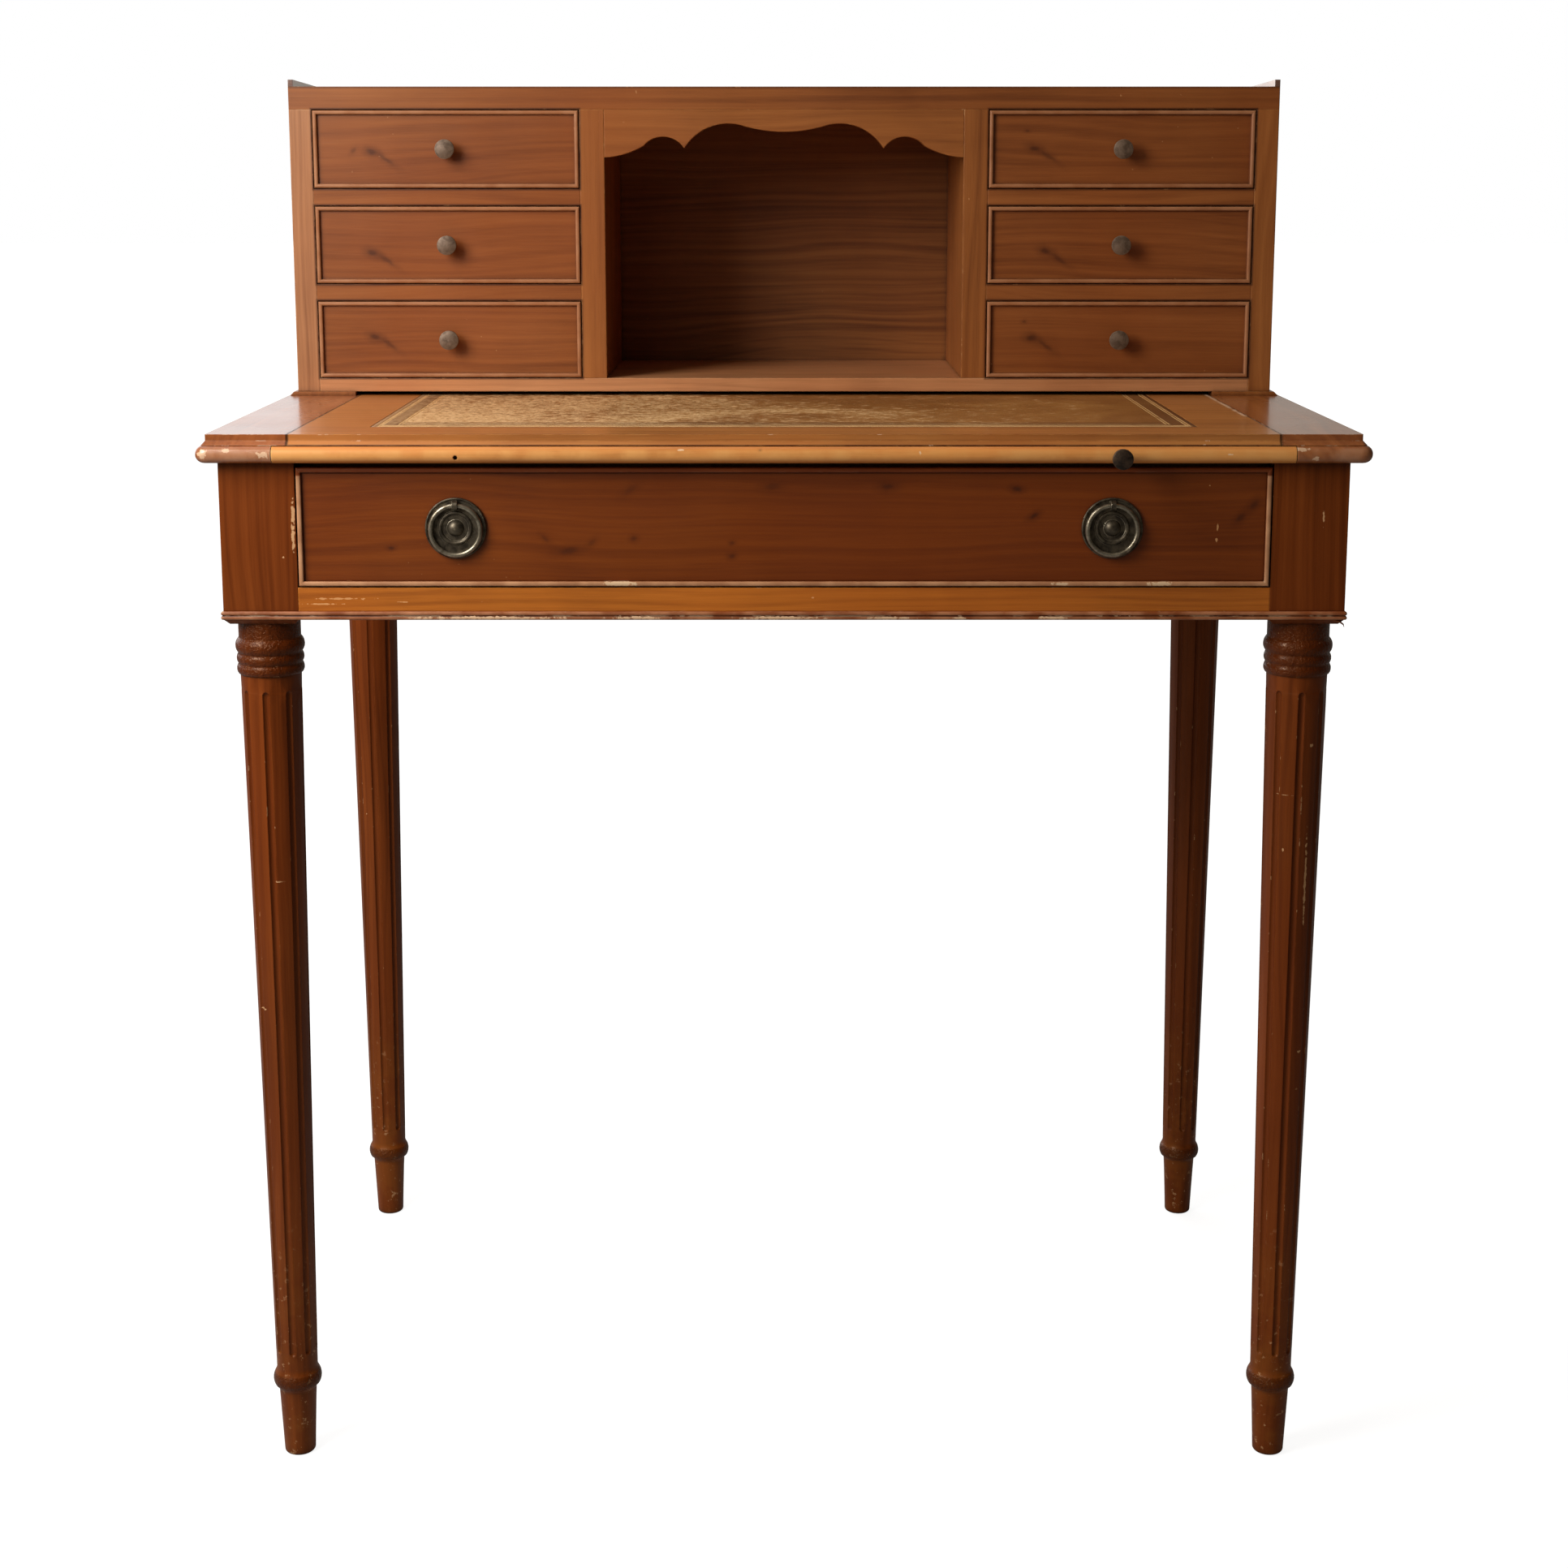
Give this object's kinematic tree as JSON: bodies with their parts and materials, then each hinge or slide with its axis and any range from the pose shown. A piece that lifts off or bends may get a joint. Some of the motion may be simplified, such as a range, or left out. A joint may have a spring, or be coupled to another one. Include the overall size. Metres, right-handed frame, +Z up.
{
  "type": "bonheur du jour writing desk",
  "caption": "Small cherry writing table on turned, fluted legs, with a wide frieze drawer, a leather-lined pull-out writing slide and a raised back of small drawers round an open niche.",
  "frame": {"origin": "floor level, at the middle of the overall width and depth", "axes": "+Z up, +X to the right of someone sitting at the desk, -Y towards them, so the drawers pull out along -Y"},
  "size_m": [0.8, 0.5134, 1.0072],
  "materials": {
    "cherry": "satin varnish, worn",
    "cherry_light": "satin varnish, faded",
    "inner_wood": "plain, unvarnished",
    "leather": "worn, gold-tooled border",
    "aged_brass": "dark antique",
    "aged_metal": "dark bronzed, matt",
    "steel": "plain"
  },
  "bodies": {
    "frame": {"leg_front_left": "cherry", "leg_front_right": "cherry", "leg_rear_left": "cherry", "leg_rear_right": "cherry", "apron_left": "cherry", "apron_right": "cherry", "apron_back": "cherry", "front_rail_lower": "cherry_light", "front_rail_upper": "inner_wood", "base_mouldings": "cherry", "drawer_runners": "inner_wood", "drawer_guides": "inner_wood", "drawer_kickers": "inner_wood", "glue_blocks": "inner_wood", "top_board_left": "cherry", "top_board_right": "cherry", "top_rear_rail": "inner_wood", "wood_screws": "steel", "gradin_plinths": "cherry", "gradin_side_left": "cherry", "gradin_side_right": "cherry", "gradin_bottom": "cherry", "gradin_top": "cherry", "gradin_back": "cherry", "gradin_partition_left": "cherry", "gradin_partition_right": "cherry", "gradin_dust_boards": "cherry", "gradin_valance": "cherry", "gradin_rims": "cherry"},
    "frieze_drawer": {"frieze_front": "cherry", "frieze_beads": "cherry", "frieze_sides": "inner_wood", "frieze_back": "inner_wood", "frieze_bottom": "inner_wood", "pull_plates": "aged_brass", "pull_nuts": "steel"},
    "writing_slide": {"slide_panel": "cherry_light", "slide_lipping": "cherry_light", "slide_leather": "leather", "slide_knob": "aged_metal"},
    "ring_left": {"pull_ring_left": "aged_brass"},
    "ring_right": {"pull_ring_right": "aged_brass"},
    "drawer_left_low": {"drawer_left_low_front": "cherry", "drawer_left_low_box": "inner_wood", "drawer_left_low_knob": "aged_metal"},
    "drawer_left_middle": {"drawer_left_middle_front": "cherry", "drawer_left_middle_box": "inner_wood", "drawer_left_middle_knob": "aged_metal"},
    "drawer_left_high": {"drawer_left_high_front": "cherry", "drawer_left_high_box": "inner_wood", "drawer_left_high_knob": "aged_metal"},
    "drawer_right_low": {"drawer_right_low_front": "cherry", "drawer_right_low_box": "inner_wood", "drawer_right_low_knob": "aged_metal"},
    "drawer_right_middle": {"drawer_right_middle_front": "cherry", "drawer_right_middle_box": "inner_wood", "drawer_right_middle_knob": "aged_metal"},
    "drawer_right_high": {"drawer_right_high_front": "cherry", "drawer_right_high_box": "inner_wood", "drawer_right_high_knob": "aged_metal"}
  },
  "joints": [
    {"name": "frieze_drawer_slide", "type": "slide", "parent": "frame", "child": "frieze_drawer", "axis": [0, -1, 0], "range_m": [0, 0.28]},
    {"name": "writing_slide_slide", "type": "slide", "parent": "frame", "child": "writing_slide", "axis": [0, -1, 0], "range_m": [0, 0.15]},
    {"name": "ring_left_hinge", "type": "hinge", "parent": "frieze_drawer", "child": "ring_left", "pos_m": [-0.225, -0.2327, 0.7127], "axis": [-1, 0, 0], "range_deg": [0, 110]},
    {"name": "ring_right_hinge", "type": "hinge", "parent": "frieze_drawer", "child": "ring_right", "pos_m": [0.225, -0.2327, 0.7127], "axis": [-1, 0, 0], "range_deg": [0, 110]},
    {"name": "drawer_left_low_slide", "type": "slide", "parent": "frame", "child": "drawer_left_low", "axis": [0, -1, 0], "range_m": [0, 0.13]},
    {"name": "drawer_left_middle_slide", "type": "slide", "parent": "frame", "child": "drawer_left_middle", "axis": [0, -1, 0], "range_m": [0, 0.13]},
    {"name": "drawer_left_high_slide", "type": "slide", "parent": "frame", "child": "drawer_left_high", "axis": [0, -1, 0], "range_m": [0, 0.13]},
    {"name": "drawer_right_low_slide", "type": "slide", "parent": "frame", "child": "drawer_right_low", "axis": [0, -1, 0], "range_m": [0, 0.13]},
    {"name": "drawer_right_middle_slide", "type": "slide", "parent": "frame", "child": "drawer_right_middle", "axis": [0, -1, 0], "range_m": [0, 0.13]},
    {"name": "drawer_right_high_slide", "type": "slide", "parent": "frame", "child": "drawer_right_high", "axis": [0, -1, 0], "range_m": [0, 0.13]}
  ]
}
